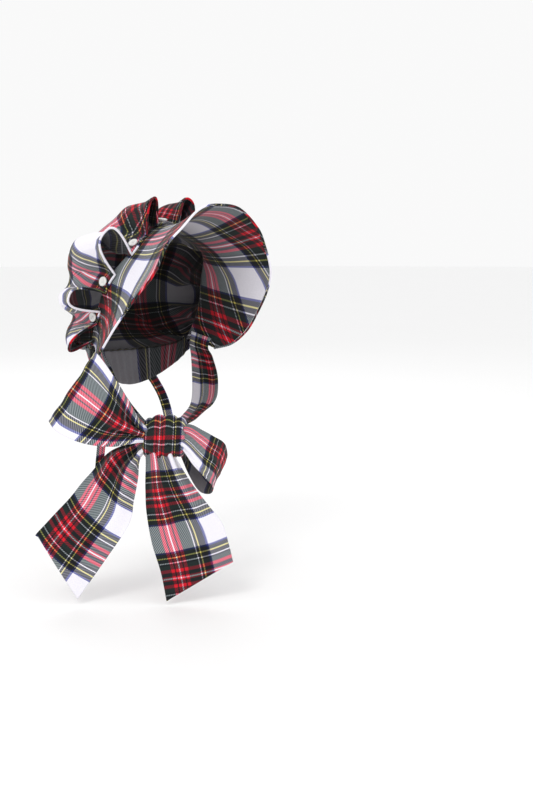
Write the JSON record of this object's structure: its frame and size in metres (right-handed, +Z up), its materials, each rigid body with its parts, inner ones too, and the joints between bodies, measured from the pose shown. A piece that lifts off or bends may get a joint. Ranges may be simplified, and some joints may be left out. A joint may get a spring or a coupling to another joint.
{
  "type": "baby bonnet with a buttoned crown and chin ties",
  "caption": "Baby bonnet in tartan cloth with a flaring brim, a crown buttoned down in arches, a small nape tie and wide chin ties in a big bow.",
  "frame": {"origin": "where the top of the wearer's head bears inside the bonnet, on the head's vertical axis", "axes": "+Z up, the wearer faces -Y and the wearer's left is +X, in the bonnet's worn form"},
  "size_m": [0.2401, 0.1964, 0.3894],
  "materials": {
    "brim_tartan": "woven cotton twill, matt",
    "crown_tartan": "woven cotton twill, matt",
    "tie_tartan": "woven cotton twill, matt",
    "nape_tie_tartan": "woven cotton twill, matt",
    "piping_cloth": "woven cotton twill, matt",
    "hem_cloth": "woven cotton twill, matt",
    "white_button": "satin white"
  },
  "bodies": {
    "root": {"brim": "brim_tartan", "brim_piping": "piping_cloth", "crown": "crown_tartan", "crown_hem": "hem_cloth", "button_1": "white_button", "button_2": "white_button", "button_3": "white_button", "button_4": "white_button", "button_5": "white_button", "button_6": "white_button", "button_7": "white_button", "bow_knot": "tie_tartan", "bow_loop_right": "tie_tartan", "bow_loop_left": "tie_tartan", "bow_tail_right": "tie_tartan", "bow_tail_left": "tie_tartan", "chin_strap_right": "tie_tartan", "chin_strap_left": "tie_tartan", "nape_knot": "nape_tie_tartan", "nape_loop_left": "nape_tie_tartan", "nape_loop_right": "nape_tie_tartan", "nape_tail_left": "nape_tie_tartan", "nape_tail_right": "nape_tie_tartan"}
  },
  "joints": []
}
